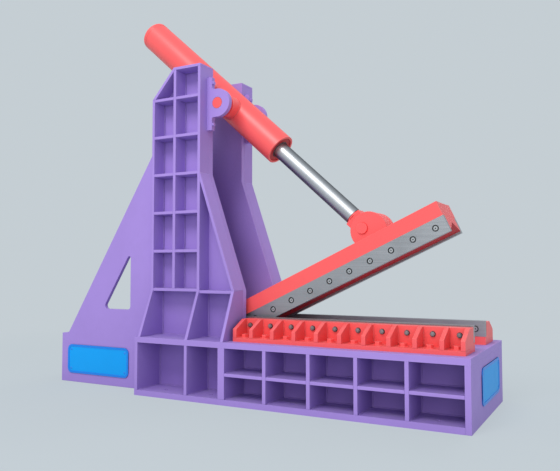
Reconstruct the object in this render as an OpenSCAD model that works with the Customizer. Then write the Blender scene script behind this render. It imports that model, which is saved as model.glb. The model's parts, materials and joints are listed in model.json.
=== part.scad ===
// Hydraulic alligator shear for scrap metal.
// +X runs from the towers to the jaw tip, +Z is up, and the far side is +Y.
// The origin is at the middle of the footprint, on the floor.

/* [Base] */
// Length of the low box behind the towers
box_l = 874; // [600:1:1100]
// Outer width of the low box
box_w = 620; // [480:1:760]
// Height of the low box
box_h = 366; // [300:1:395]
// Outer width of the wide base
base_w = 980; // [900:1:1200]
// Height of the deck above the floor
base_h = 395; // [330:1:480]
// Thickness of the bottom plates
floor_t = 37; // [25:1:50]
// Thickness of the deck plate
deck_t = 37; // [30:1:50]
// Thickness of the end plates
end_t = 34; // [20:1:45]
// Thickness of the pocket ribs
rib_t = 24; // [16:1:30]
// Width of the double rib under the tower nose
post_w = 49; // [30:1:60]
// Number of pockets along the table
bay_count = 5; // [3:1:7]
// Thickness of the pocket shelves
shelf_t = 20; // [14:1:26]
// Radius of the anchor holes
anchor_r = 14; // [10:0.5:18]
// Distance of the anchor holes from the middle plane
anchor_y = 390; // [330:1:420]

/* [Towers] */
// Depth of a tower from its rear flange to its front face
tower_d = 413; // [360:1:500]
// Reach of the tower foot in front of the front face
foot_reach = 276; // [240:1:340]
// Distance of the tower's rear flange from the step in the base
tower_inset = 26; // [24:1:60]
// Height of the flared foot above the deck
waist_h = 320; // [300:1:390]
// Distance between the tower shelves
shelf_pitch = 268; // [220:1:330]
// Height from the top shelf to the tower top
cap_h = 220; // [180:1:280]
// Outer distance of the tower flanges from the middle plane
tower_y = 354; // [320:1:400]
// Thickness of the tower webs and the base webs
web_t = 41.5; // [30:0.5:50]
// Thickness of the tower flanges
flange_t = 20; // [14:1:26]
// Distance of the front face from the mid rib
mid_gap = 206; // [180:1:240]

/* [Rear gussets] */
// Thickness of the gusset plates
gusset_t = 30; // [20:1:40]
// Height of the gusset's top end above the deck
gusset_h = 1335; // [1100:1:1400]
// Length of the flat ledge at the gusset's low end
ledge_l = 63; // [40:1:100]
// Distance of the window from the tower's rear flange
window_gap = 225; // [180:1:260]
// Width of the web between the window and the slanted edge
window_edge = 196; // [180:1:260]
// Height of the window's lower edge above the low box
window_sill = 196; // [150:1:240]
// Radius of the window's two lower corners
window_r = 25; // [10:1:40]
// Radius of the window's top corner
window_top_r = 15; // [10:1:30]

/* [Main pivot] */
// Distance of the pivot behind the tower nose
pivot_back = 110.5; // [100:0.5:125]
// Height of the pivot above the deck
pivot_h = 106.1; // [104:0.1:125]
// Radius of the pivot shaft
shaft_r = 62; // [50:0.5:70]
// Wall of the pivot bushes
bush_t = 13; // [8:0.5:16]
// Outer radius of the hub tube
hub_r = 98; // [90:1:98]
// Radius of the caps over the shaft ends
cap_r = 80; // [76:1:95]
// Thickness of the caps
cap_t = 12; // [8:1:16]

/* [Blades] */
// Length of the four blades
blade_l = 1500; // [1200:1:1800]
// Height of the blades
blade_h = 100; // [85:1:115]
// Thickness of the blades
blade_t = 35; // [25:1:38]
// Gap between an upper blade and a lower blade
blade_gap = 1; // [0.5:0.1:2]
// Distance of the first bolt from the blade's rear end
bolt_first = 77; // [60:1:90]
// Distance between the blade bolts
bolt_pitch = 150; // [130:1:200]
// Radius of the blade bolt shanks
bolt_r = 9; // [7:0.5:11]
// Radius of the blade bolt heads
head_r = 13; // [12:0.5:16]
// Radius of the counterbores round the heads
sink_r = 20.5; // [17:0.5:24]
// Depth of the counterbores
sink_d = 14; // [10:1:16]

/* [Lower jaw] */
// Gap between the tower nose and the lower blades
blade_start = 2; // [1:1:20]
// Length by which the lower blades are shorter than the upper blades
lower_short = 14; // [0:1:30]
// Distance of the seat's top below the top of the lower blades
seat_drop = 9; // [4:1:14]
// Height of the ledge under the lower blades
ledge_h = 48; // [36:1:60]
// Thickness of the seat's back plate
back_t = 75; // [55:1:85]
// Width of the seat's foot outside the back plate
seat_foot_w = 140; // [120:1:150]
// Thickness of the seat's foot
seat_foot_t = 25; // [18:1:30]
// Thickness of the seat ribs
seat_rib_t = 26; // [18:1:32]
// Distance of each rib in front of a blade bolt
rib_after_bolt = 83; // [70:1:95]
// Radius of the hold-down bolt shanks
hold_r = 11; // [8:0.5:12]
// Distance of the hold-down bolts from the back plate
hold_gap = 72; // [50:1:90]

/* [Upper jaw] */
// Angle between the upper jaw and the deck as drawn
open_angle = 25.07; // [20:0.01:28]
// Width of the upper jaw
jaw_w = 322; // [300:1:360]
// Height of the jaw's top above the pivot
jaw_top_n = 99.3; // [99:0.1:103]
// Distance of the cutting edges below the pivot
edge_n = 96.5; // [94:0.1:97]
// Distance of the blades' rear ends in front of the pivot
blade_u = 80; // [70:1:100]
// Thickness of the side plates
cheek_t = 60; // [40:1:70]
// Thickness of the top plate and the nose plate
lid_t = 40; // [25:1:45]
// Depth of the groove under the jaw
groove_d = 67; // [40:1:70]
// Height of the keel's lower edges above the cutting edges
keel_step = 13; // [6:1:20]
// Distance of the rod pin in front of the pivot
pin_u = 1078.6; // [900:0.1:1200]
// Distance of the rod pin above the pivot
pin_n = 176.2; // [173:0.1:195]
// Radius of the rod pin
pin_r = 35; // [25:0.5:40]
// Radius of the rod lugs
lug_r = 120; // [100:1:130]
// Thickness of each rod lug
lug_t = 40; // [25:1:50]

/* [Cylinder] */
// Height of the trunnions below the tower top
trunnion_drop = 269.3; // [240:0.1:320]
// Distance of the trunnions in front of the towers
trunnion_out = 83.3; // [80:0.1:110]
// Radius of the trunnion pins
trunnion_r = 38; // [34:0.5:44]
// Outer radius of the bracket ears
ear_r = 98; // [85:1:110]
// Thickness of the trunnion brackets
bracket_t = 36; // [28:1:44]
// Outer radius of the barrel
barrel_r = 110; // [98:1:120]
// Bore radius of the barrel
bore_r = 85; // [75:1:88]
// Length of the barrel behind the trunnions
barrel_back = 1037; // [900:1:1150]
// Length of the barrel in front of the trunnions
barrel_front = 473; // [460:1:600]
// Radius of the piston rod
rod_r = 57; // [45:0.5:62]
// Distance of the rod eye's shoulder from its bore
eye_l = 126; // [110:1:150]
// Radial room of the rod eye round the rod pin
eye_room = 10; // [9.2:0.1:13]

/* [Badges] */
// Length of the blank badge on the low box
badge_l = 600; // [300:1:640]
// Height of both blank badges
badge_h = 215; // [120:1:240]
// Length of the blank badge on the front end plate
front_badge_l = 560; // [300:1:640]
// Thickness of the badges
badge_t = 6; // [3:0.5:10]

/* [Hidden] */
$fn = 64;

purple = [0.66, 0.56, 0.87];
red = [1.0, 0.38, 0.39];
dark_red = [0.78, 0.2, 0.2];
steel = [0.6, 0.62, 0.64];
chrome = [0.85, 0.86, 0.88];
bronze = [0.72, 0.55, 0.3];
blue = [0.0, 0.6, 1.0];

// Clearances
run_gap = 0.05;
side_gap = 4;
ring_gap = 0.3;
weld_gap = 0.3;

// Places along X
end_gap = 29;
deck_l = tower_inset + tower_d + foot_reach + blade_start + blade_l + end_gap;
base_l = box_l + deck_l;
rear_x = -base_l / 2;
front_x = base_l / 2;
step_x = rear_x + box_l;
tower_x0 = step_x + tower_inset;
face_x = tower_x0 + tower_d;
nose_x = face_x + foot_reach;
blade_x0 = nose_x + blade_start;
blade_x1 = blade_x0 + blade_l - lower_short;
mid_t = 22;
mid_x1 = face_x - mid_gap;
mid_x0 = mid_x1 - mid_t;

// Places along Z
deck_z = base_h;
deck_under = base_h - deck_t;
waist_z = deck_z + waist_h;
shelf_rows = 5;
slant_row = 3;
top_shelf_z = waist_z + shelf_rows * shelf_pitch;
slant_z = waist_z + slant_row * shelf_pitch;
cap_z0 = top_shelf_z + shelf_t / 2;
tower_top = top_shelf_z + cap_h;

// Places along Y, each as a distance from the middle plane
blade_y = jaw_w / 2 + blade_gap;
web_y0 = jaw_w / 2 + 34.5;
web_y1 = web_y0 + web_t;
base_y = base_w / 2;
box_y = box_w / 2;
seat_y0 = blade_y + 2;
back_y0 = blade_y + blade_t;
back_y1 = back_y0 + back_t;
seat_y1 = back_y1 + seat_foot_w;
blade_z0 = deck_z + ledge_h + 2;
blade_z1 = blade_z0 + blade_h - 4;
seat_top_z = blade_z1 - seat_drop;

// Main pivot
pivot_x = nose_x - pivot_back;
pivot_z = deck_z + pivot_h;
bush_r = shaft_r + bush_t;
jaw_y = jaw_w / 2;
cheek_y = jaw_y - cheek_t;

// Blade bolts
bolt_count = floor((blade_l - bolt_first) / bolt_pitch - 0.2) + 1;
bolt_z = (blade_z0 + blade_z1) / 2 - 2;
blade_top_n = -edge_n + blade_h + 3.5;
bolt_n = (blade_top_n - edge_n) / 2;
blade_face_y = jaw_y - blade_t;

// Cylinder axis from the trunnions to the rod pin
trunnion_x = face_x + trunnion_out;
trunnion_z = tower_top - trunnion_drop;
pin_x = pivot_x + pin_u * cos(open_angle) - pin_n * sin(open_angle);
pin_z = pivot_z + pin_u * sin(open_angle) + pin_n * cos(open_angle);
pin_s = norm([pin_x - trunnion_x, pin_z - trunnion_z]);
tilt = atan2(trunnion_z - pin_z, pin_x - trunnion_x);
shoulder_s = pin_s - eye_l;
cap_s = 40;
tube_back = barrel_back - cap_s;
gland_recess = 6;
gland_step = 30;
gland_l = 120;
gland_r = bore_r + 11;
piston_front = -40;
piston_l = 100;
eye_y = 46;
eye_h = 60;
eye_r = pin_r + eye_room + 20;
lug_y0 = eye_y + side_gap;
lug_y1 = lug_y0 + lug_t;
bracket_y0 = web_y1 - 1.5;
bracket_y1 = bracket_y0 + bracket_t;
ear_bush_t = 8;
leg_t = 40;
leg_up = 184;
leg_down = 187;
leg_bolt_in = 40;

// Plate helpers: the outline of side_plate is in X and Z, and that of cross_plate in Y and Z
module slab(x0, x1, y0, y1, z0, z1) {
    translate([x0, y0, z0]) cube([x1 - x0, y1 - y0, z1 - z0]);
}

module side_plate(points, y0, y1) {
    translate([0, y1, 0]) rotate([90, 0, 0]) linear_extrude(y1 - y0) polygon(points);
}

module cross_plate(points, x0, x1) {
    translate([x0, 0, 0]) rotate([90, 0, 90]) linear_extrude(x1 - x0) polygon(points);
}

module rod_y(x, z, r, y0, y1) {
    translate([x, y1, z]) rotate([90, 0, 0]) cylinder(r = r, h = y1 - y0);
}

module rod_x(x0, x1, r) {
    translate([x0, 0, 0]) rotate([0, 90, 0]) cylinder(r = r, h = x1 - x0);
}

module hex_y(x, z, r, y0, y1) {
    translate([x, y1, z]) rotate([90, 0, 0]) cylinder(r = r, h = y1 - y0, $fn = 6);
}

module both_sides() {
    children();
    mirror([0, 1, 0]) children();
}

module near() {
    mirror([0, 1, 0]) children();
}

// Frames of the moving pieces
module jaw_frame() {
    translate([pivot_x, 0, pivot_z]) rotate([0, -open_angle, 0]) children();
}

module cylinder_frame() {
    translate([trunnion_x, 0, trunnion_z]) rotate([0, tilt, 0]) children();
}

// Base
anchor_rear_x = tower_x0 + 174;
anchor_foot_x = pivot_x - 36.5;
bay_pitch = (front_x - end_t - rib_t / 2 - (nose_x + 2.5)) / bay_count;
anchor_mid_x = nose_x + 2.5 + bay_pitch * 1.5;
anchor_front_x = nose_x + 2.5 + bay_pitch * (bay_count - 0.5);
anchor_xs = [anchor_rear_x, anchor_foot_x, anchor_mid_x, anchor_front_x];
rib_spans = concat(
    [[step_x, step_x + rib_t]],
    [[face_x - rib_t, face_x - 2]],
    [[nose_x - 37, nose_x - 37 + post_w]],
    [for (i = [1 : bay_count - 1])
        let (c = nose_x + 2.5 + bay_pitch * i) [c - rib_t / 2, c + rib_t / 2]]
);

module base_plates() color(purple) {
    difference() {
        slab(step_x, front_x - end_t, -base_y, base_y, 0, floor_t);
        both_sides() for (x = anchor_xs) {
            translate([x, anchor_y, -1]) cylinder(r = anchor_r, h = floor_t + 2);
        }
    }
    slab(rear_x + end_t, step_x - weld_gap, gusset_t - box_y, box_y - gusset_t, 0, floor_t);
}

module deck_plate() color(purple) difference() {
    slab(step_x, front_x, -base_y, base_y, deck_under, deck_z);
    both_sides() for (i = [0 : bolt_count - 1]) {
        translate([bolt_x(i), hold_y, deck_z - hold_bite])
            cylinder(r = hold_r + run_gap, h = hold_bite + 1);
    }
}

module front_end_plate() color(purple) {
    slab(front_x - end_t, front_x, -base_y, base_y, 0, deck_under);
}

module base_webs() color(purple) both_sides() {
    slab(step_x, front_x - end_t, web_y0, web_y1, floor_t, deck_under);
}

module pocket_ribs() color(purple) both_sides() for (span = rib_spans) {
    slab(span[0], span[1], web_y1, base_y, floor_t, deck_under);
}

shelf_z = (floor_t + deck_under) / 2 - 6.5;
module pocket_shelves() color(purple) both_sides() for (i = [2 : len(rib_spans) - 1]) {
    x1 = i < len(rib_spans) - 1 ? rib_spans[i + 1][0] : front_x - end_t;
    slab(rib_spans[i][1], x1, web_y1, base_y, shelf_z - shelf_t / 2, shelf_z + shelf_t / 2);
}

module cross_ribs() color(purple) for (span = rib_spans) {
    slab(span[0], span[1], -web_y0, web_y0, floor_t, deck_under);
}

// Rear gussets
gusset_top = deck_z + gusset_h;
slant_dx = tower_x0 - (rear_x + ledge_l);
slant_dz = gusset_top - box_h;
slant_len = norm([slant_dx, slant_dz]);
gusset_outline = [
    [rear_x, 0], [step_x, 0], [step_x, deck_z], [tower_x0, deck_z], [tower_x0, gusset_top],
    [rear_x + ledge_l, box_h], [rear_x, box_h]
];

// Corner centres of the triangular window, worked from its three edges
win_x1 = tower_x0 - window_gap - window_r;
win_z0 = box_h + window_sill + window_r;
win_x0 = rear_x + ledge_l + (win_z0 - box_h) * slant_dx / slant_dz
    + (window_edge + window_r) * slant_len / slant_dz;
win_top_x = tower_x0 - window_gap - window_top_r;
win_top_z = box_h + (win_top_x - rear_x - ledge_l) * slant_dz / slant_dx
    - (window_edge + window_top_r) * slant_len / slant_dx;

module gusset() color(purple) difference() {
    side_plate(gusset_outline, box_y - gusset_t, box_y);
    translate([0, box_y + 1, 0]) rotate([90, 0, 0]) linear_extrude(gusset_t + 2) hull() {
        translate([win_x0, win_z0]) circle(r = window_r, $fn = 32);
        translate([win_x1, win_z0]) circle(r = window_r, $fn = 32);
        translate([win_top_x, win_top_z]) circle(r = window_top_r, $fn = 32);
    }
}

module gusset_near() near() gusset();

module gusset_far() gusset();

module rear_end_plate() color(purple) {
    slab(rear_x, rear_x + end_t, gusset_t - box_y, box_y - gusset_t, 0, box_h);
}

module rear_top_plate() color(purple) {
    slab(rear_x + end_t, step_x, gusset_t - box_y, box_y - gusset_t, box_h - deck_t, box_h);
}

module tie_plate() color(purple) {
    slab(tower_x0, tower_x0 + flange_t, -web_y0, web_y0, deck_z, gusset_top - 30);
}

// Towers
nose_slope = (slant_z - waist_z) / foot_reach;
nose_in = flange_t * norm([1, nose_slope]) / nose_slope;
cap_slope = (tower_top - cap_z0) / (mid_x0 - tower_x0);
cap_in = flange_t * norm([1, cap_slope]) / cap_slope;
cap_under = tower_top - flange_t;
cap_knee_x = tower_x0 + cap_in + (cap_under - cap_z0) / cap_slope;
flare = [[web_y1, deck_z], [base_y, deck_z], [tower_y, waist_z]];

module tower_web() color(purple) difference() {
    side_plate([
        [tower_x0, deck_z], [nose_x, deck_z], [nose_x, waist_z], [face_x, slant_z],
        [face_x, tower_top], [mid_x0, tower_top], [tower_x0, cap_z0]
    ], web_y0, web_y1);
    rod_y(pivot_x, pivot_z, shaft_r + run_gap, web_y0 - 1, web_y1 + 1);
    rod_y(pivot_x, pivot_z, cap_r, web_y1 - cap_t, web_y1 + 1);
}

module tower_web_near() near() tower_web();

module tower_web_far() tower_web();

module rear_flange() color(purple) {
    cross_plate(concat(flare, [[tower_y, cap_z0], [web_y1, cap_z0]]),
        tower_x0, tower_x0 + flange_t);
}

module rear_flange_near() near() rear_flange();

module rear_flange_far() rear_flange();

module front_flange() color(purple) difference() {
    cross_plate(concat(flare, [[tower_y, cap_under], [web_y1, cap_under]]),
        face_x - flange_t, face_x);
    for (z = leg_bolt_zs) {
        translate([face_x + 1, bracket_bolt_y, z]) rotate([0, -90, 0])
            cylinder(r = bolt_r + run_gap, h = flange_t + 2);
    }
}

module front_flange_near() near() front_flange();

module front_flange_far() front_flange();

module nose_flange() color(purple) {
    side_plate([
        [nose_x, waist_z + weld_gap], [face_x, slant_z],
        [face_x, waist_z + (foot_reach - nose_in) * nose_slope],
        [nose_x - nose_in, waist_z + weld_gap]
    ], web_y1, tower_y);
    cross_plate(concat(flare, [[web_y1, waist_z]]), nose_x - nose_in, nose_x);
}

module nose_flange_near() near() nose_flange();

module nose_flange_far() nose_flange();

module tower_shelf(x0, x1, z) {
    slab(x0, x1, web_y1, tower_y, z - shelf_t / 2, z + shelf_t / 2);
}

module tower_grid() color(purple) {
    side_plate([
        [mid_x0, waist_z + shelf_t / 2 + weld_gap], [mid_x1, waist_z + shelf_t / 2 + weld_gap],
        [mid_x1, cap_under], [cap_knee_x, cap_under],
        [mid_x0, cap_under - (cap_knee_x - mid_x0) * cap_slope]
    ], web_y1, tower_y);
    tower_shelf(tower_x0 + flange_t, face_x - flange_t, waist_z);
    slab(face_x, nose_x - nose_in, web_y1, tower_y, waist_z - shelf_t, waist_z);
    for (i = [1 : shelf_rows]) {
        tower_shelf(tower_x0 + flange_t, mid_x0 - weld_gap, waist_z + i * shelf_pitch);
        tower_shelf(mid_x1 + weld_gap, face_x - flange_t, waist_z + i * shelf_pitch);
    }
}

module tower_grid_near() near() tower_grid();

module tower_grid_far() tower_grid();

module tower_cap() color(purple) side_plate([
    [tower_x0, cap_z0], [mid_x0, tower_top], [face_x, tower_top], [face_x, cap_under],
    [cap_knee_x, cap_under], [tower_x0 + cap_in, cap_z0]
], web_y1, tower_y);

module tower_cap_near() near() tower_cap();

module tower_cap_far() tower_cap();

// Main pivot
module pivot_shaft() color(steel) {
    rod_y(pivot_x, pivot_z, shaft_r, cap_t - web_y1, web_y1 - cap_t);
}

module pivot_caps() color(purple) both_sides() {
    rod_y(pivot_x, pivot_z, cap_r - run_gap, web_y1 - cap_t, web_y1);
}

module thrust_rings() color(bronze) both_sides() difference() {
    rod_y(pivot_x, pivot_z, hub_r - 5, jaw_y + ring_gap, web_y0 - ring_gap);
    rod_y(pivot_x, pivot_z, shaft_r + run_gap, jaw_y, web_y0);
}

// Lower jaw
seat_x0 = blade_x0 + 27;
seat_x1 = blade_x1 + 1;
hold_y = back_y1 + hold_gap;
hold_bite = 27;
hold_head_h = 20;
hold_head_r = 24;
nut_h = 12;
nut_r = 15;
stud_out = 16;
function bolt_x(i) = blade_x0 + bolt_first + i * bolt_pitch;

module seat() color(red) difference() {
    cross_plate([
        [seat_y0, deck_z], [seat_y1, deck_z], [seat_y1, deck_z + seat_foot_t],
        [back_y1, deck_z + seat_foot_t], [back_y1, seat_top_z], [back_y0, seat_top_z],
        [back_y0, blade_z0], [seat_y0, blade_z0]
    ], seat_x0, seat_x1);
    for (i = [0 : bolt_count - 1]) {
        rod_y(bolt_x(i), bolt_z, bolt_r + run_gap, back_y0 - 1, back_y1 + 1);
        translate([bolt_x(i), hold_y, deck_z - 1])
            cylinder(r = hold_r + run_gap, h = seat_foot_t + 2);
    }
}

module seat_near() near() seat();

module seat_far() seat();

module seat_rib(x) cross_plate([
    [back_y1, deck_z + seat_foot_t], [seat_y1, deck_z + seat_foot_t],
    [seat_y1, deck_z + seat_foot_t + 55], [back_y1 + 28, seat_top_z], [back_y1, seat_top_z]
], x - seat_rib_t / 2, x + seat_rib_t / 2);

module seat_ribs() color(red) both_sides() {
    seat_rib(seat_x0 + seat_rib_t / 2);
    seat_rib(seat_x1 - seat_rib_t / 2);
    for (i = [0 : bolt_count - 2]) {
        seat_rib(bolt_x(i) + rib_after_bolt);
    }
}

module lower_blade() color(steel) difference() {
    slab(blade_x0, blade_x1, blade_y, blade_y + blade_t, blade_z0, blade_z1);
    for (i = [0 : bolt_count - 1]) {
        rod_y(bolt_x(i), bolt_z, bolt_r + run_gap, blade_y, blade_y + blade_t + 1);
        rod_y(bolt_x(i), bolt_z, sink_r, blade_y - 1, blade_y + sink_d);
    }
}

module lower_blade_near() near() lower_blade();

module lower_blade_far() lower_blade();

module lower_blade_bolts() color(steel) both_sides() for (i = [0 : bolt_count - 1]) {
    rod_y(bolt_x(i), bolt_z, head_r, blade_y + 1, blade_y + sink_d);
    rod_y(bolt_x(i), bolt_z, bolt_r, blade_y + sink_d, back_y1 + stud_out);
    difference() {
        hex_y(bolt_x(i), bolt_z, nut_r, back_y1, back_y1 + nut_h);
        rod_y(bolt_x(i), bolt_z, bolt_r, back_y1 - 1, back_y1 + nut_h + 1);
    }
}

module hold_down_bolts() color(red) both_sides() for (i = [0 : bolt_count - 1]) {
    translate([bolt_x(i), hold_y, deck_z - hold_bite])
        cylinder(r = hold_r, h = hold_bite + seat_foot_t);
    translate([bolt_x(i), hold_y, deck_z + seat_foot_t])
        cylinder(r = hold_head_r, h = hold_head_h, $fn = 6);
}

// Trunnion brackets
leg_x = face_x + leg_t;
leg_z0 = trunnion_z - leg_down;
leg_z1 = trunnion_z + leg_up;
leg_bolt_zs = [leg_z0 + leg_bolt_in, leg_z1 - leg_bolt_in];
bracket_bolt_y = (bracket_y0 + bracket_y1) / 2 + 3;
ear_bush_r = trunnion_r + ear_bush_t;
ear_lip = 6;
fillet_r = 14;
small_head_r = 14;
small_head_h = 13;

module bracket() color(purple) difference() {
    union() {
        slab(face_x, leg_x, bracket_y0, bracket_y1, leg_z0, leg_z1);
        rod_y(trunnion_x, trunnion_z, ear_r, bracket_y0, bracket_y1);
        slab(leg_x - 1, leg_x + fillet_r, bracket_y0, bracket_y1,
            trunnion_z - ear_r - fillet_r, trunnion_z + ear_r + fillet_r);
        slab(leg_x, trunnion_x, bracket_y0, bracket_y1,
            trunnion_z - ear_r, trunnion_z + ear_r);
    }
    for (side = [-1, 1]) {
        rod_y(leg_x + fillet_r, trunnion_z + side * (ear_r + fillet_r), fillet_r,
            bracket_y0 - 1, bracket_y1 + 1);
    }
    rod_y(trunnion_x, trunnion_z, ear_bush_r + run_gap, bracket_y0 - 1, bracket_y1 - ear_lip);
    rod_y(trunnion_x, trunnion_z, trunnion_r + 2, bracket_y0 - 1, bracket_y1 + 1);
    slab(face_x - ear_r, face_x, bracket_y0 - 1, bracket_y1 + 1,
        trunnion_z - ear_r - 1, trunnion_z + ear_r + 1);
    for (z = leg_bolt_zs) {
        translate([face_x - 1, bracket_bolt_y, z]) rotate([0, 90, 0])
            cylinder(r = bolt_r + run_gap, h = leg_t + 2);
    }
}

module bracket_near() near() bracket();

module bracket_far() bracket();

module bracket_bolts() color(purple) both_sides() for (z = leg_bolt_zs) {
    translate([face_x - flange_t + 1, bracket_bolt_y, z]) rotate([0, 90, 0])
        cylinder(r = bolt_r, h = flange_t - 1 + leg_t);
    translate([leg_x, bracket_bolt_y, z]) rotate([0, 90, 0])
        cylinder(r = small_head_r, h = small_head_h, $fn = 6);
}

module trunnion_bushes() color(bronze) both_sides() difference() {
    rod_y(trunnion_x, trunnion_z, ear_bush_r, bracket_y0, bracket_y1 - ear_lip - run_gap);
    rod_y(trunnion_x, trunnion_z, trunnion_r + run_gap, bracket_y0 - 1, bracket_y1 + 1);
}

// Badges without lettering
badge_r = 40;
module badge(l) {
    linear_extrude(badge_t) hull() {
        for (x = [-1, 1], y = [-1, 1]) {
            translate([x * (l / 2 - badge_r), y * (badge_h / 2 - badge_r)])
                circle(r = badge_r, $fn = 32);
        }
    }
}

module badges() color(blue) {
    translate([rear_x + box_l * 0.42, -box_y, 175]) rotate([90, 0, 0]) badge(badge_l);
    translate([front_x, 70, 200]) rotate([90, 0, 90]) badge(front_badge_l);
}

// Upper jaw, drawn flat with the pivot at its origin
jaw_l = blade_u + blade_l;
cheek_outline = [
    [0, jaw_top_n], [jaw_l, jaw_top_n], [jaw_l, blade_top_n], [blade_u - 1, blade_top_n],
    [blade_u - 1, 8 - edge_n], [0, 1 - jaw_top_n]
];
lid_u0 = hub_r * 0.55;
diaphragm_t = 25;
function jaw_bolt_u(i) = blade_u + bolt_first + i * bolt_pitch;

module cheek() color(red) difference() {
    union() {
        side_plate(cheek_outline, cheek_y, jaw_y);
        rod_y(0, 0, jaw_top_n, cheek_y, jaw_y);
    }
    rod_y(0, 0, bush_r + run_gap, cheek_y - 1, jaw_y + 1);
    slab(blade_u - 1, jaw_top_n + 1, cheek_y - 1, jaw_y + 1, -jaw_top_n - 1, blade_top_n);
}

module cheek_near() jaw_frame() near() cheek();

module cheek_far() jaw_frame() cheek();

module jaw_keel() color(dark_red) jaw_frame() difference() {
    cross_plate([
        [-blade_face_y, keel_step - edge_n], [0, groove_d - edge_n],
        [blade_face_y, keel_step - edge_n],
        [blade_face_y, blade_top_n], [-blade_face_y, blade_top_n]
    ], blade_u, jaw_l);
    rod_y(0, 0, hub_r + run_gap, -cheek_y, cheek_y);
    both_sides() for (i = [0 : bolt_count - 1]) {
        rod_y(jaw_bolt_u(i), bolt_n, bolt_r + run_gap, blade_face_y - 55, blade_face_y + 1);
    }
}

module jaw_lid() color(red) jaw_frame() difference() {
    slab(lid_u0, jaw_l - lid_t, -cheek_y, cheek_y, jaw_top_n - lid_t, jaw_top_n);
    rod_y(0, 0, hub_r + run_gap, -cheek_y - 1, cheek_y + 1);
}

module jaw_nose() color(red) jaw_frame() {
    slab(jaw_l - lid_t, jaw_l, -cheek_y, cheek_y, blade_top_n, jaw_top_n);
}

module jaw_diaphragms() color(red) jaw_frame() {
    for (u = [pin_u * 0.35, pin_u * 0.65, pin_u - 60, pin_u + 70, (pin_u + jaw_l) / 2]) {
        slab(u, u + diaphragm_t, -cheek_y, cheek_y, blade_top_n, jaw_top_n - lid_t);
    }
}

module jaw_hub() color(red) jaw_frame() difference() {
    rod_y(0, 0, hub_r, -cheek_y, cheek_y);
    rod_y(0, 0, bush_r + run_gap, -cheek_y - 1, cheek_y + 1);
}

module hub_bushes() color(bronze) jaw_frame() both_sides() difference() {
    rod_y(0, 0, bush_r, cheek_y - 30, jaw_y);
    rod_y(0, 0, shaft_r + run_gap, cheek_y - 31, jaw_y + 1);
}

module upper_blade() color(steel) difference() {
    slab(blade_u, jaw_l, blade_face_y, jaw_y, -edge_n, blade_top_n);
    for (i = [0 : bolt_count - 1]) {
        rod_y(jaw_bolt_u(i), bolt_n, bolt_r + run_gap, blade_face_y - 1, jaw_y);
        rod_y(jaw_bolt_u(i), bolt_n, sink_r, jaw_y - sink_d, jaw_y + 1);
    }
}

module upper_blade_near() jaw_frame() near() upper_blade();

module upper_blade_far() jaw_frame() upper_blade();

module upper_blade_bolts() color(steel) jaw_frame() both_sides() {
    for (i = [0 : bolt_count - 1]) {
        rod_y(jaw_bolt_u(i), bolt_n, head_r, jaw_y - sink_d, jaw_y - 1);
        rod_y(jaw_bolt_u(i), bolt_n, bolt_r, blade_face_y - 54, jaw_y - sink_d);
    }
}

lug_u = pin_u + 28.4;
lug_n = pin_n - 29.2;
stop_room = 18;
module rod_lugs() color(red) jaw_frame() {
    both_sides() difference() {
        rod_y(lug_u, lug_n, lug_r, lug_y0, lug_y1);
        slab(lug_u - lug_r - 1, lug_u + lug_r + 1, lug_y0 - 1, lug_y1 + 1,
            lug_n - lug_r - 1, jaw_top_n);
        rod_y(pin_u, pin_n, pin_r + run_gap, lug_y0 - 1, lug_y1 + 1);
    }
    intersection() {
        rod_y(lug_u, lug_n, lug_r - 2, weld_gap - lug_y0, lug_y0 - weld_gap);
        slab(pin_u + eye_r + stop_room, lug_u + lug_r, -lug_y0, lug_y0,
            jaw_top_n, lug_n + lug_r);
    }
}

pin_out = 12;
module rod_pin() color(red) jaw_frame() {
    rod_y(pin_u, pin_n, pin_r, -lug_y1 - pin_out, lug_y1 + pin_out);
}

// Cylinder, drawn along X with the trunnions at its origin
port_s = [-tube_back + 57, barrel_front - gland_recess - gland_l - 18];
port_r = 26;
port_out = 38;
thread_r = 13;
thread_l = 30;
feed_r = 6;
cap_round = 20;

module barrel() color(red) cylinder_frame() difference() {
    rod_x(-tube_back, barrel_front, barrel_r);
    rod_x(-tube_back - 1, barrel_front + 1, bore_r);
    rod_x(barrel_front - gland_recess - gland_step, barrel_front + 1, gland_r);
    for (s = port_s) {
        rod_y(s, 0, feed_r, bore_r - 10, barrel_r + 1);
    }
}

module barrel_cap() color(red) cylinder_frame() rotate([0, 90, 0]) rotate_extrude() {
    translate([0, -barrel_back]) square([barrel_r - cap_round, cap_s]);
    translate([0, -barrel_back + cap_round]) square([barrel_r, cap_s - cap_round]);
    translate([barrel_r - cap_round, -barrel_back + cap_round]) circle(r = cap_round);
}

module gland() color(dark_red) cylinder_frame() difference() {
    union() {
        rod_x(barrel_front - gland_recess - gland_step, barrel_front - gland_recess,
            gland_r - run_gap);
        rod_x(barrel_front - gland_recess - gland_l, barrel_front - gland_recess - gland_step,
            bore_r - run_gap);
    }
    rod_x(barrel_front - gland_recess - gland_l - 1, barrel_front, rod_r + run_gap);
}

boss_r = 78;
boss_y = web_y0 - 8;
neck_r = trunnion_out - 16;
module trunnions() color(red) cylinder_frame() both_sides() difference() {
    union() {
        rod_y(0, 0, boss_r, 0, boss_y);
        rod_y(0, 0, neck_r, boss_y, bracket_y0 - side_gap);
        rod_y(0, 0, trunnion_r, bracket_y0 - side_gap, bracket_y1);
    }
    rod_x(-barrel_r, barrel_r, barrel_r);
    slab(-barrel_r, barrel_r, -1, barrel_r * 0.45, -barrel_r, barrel_r);
}

module hose_ports() color(steel) cylinder_frame() for (s = port_s) {
    difference() {
        rod_y(s, 0, port_r, 0, barrel_r + port_out);
        rod_x(s - port_r - 1, s + port_r + 1, barrel_r);
        rod_y(s, 0, thread_r, barrel_r + port_out - thread_l, barrel_r + port_out + 1);
        rod_y(s, 0, feed_r, 0, barrel_r + port_out);
    }
}

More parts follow.
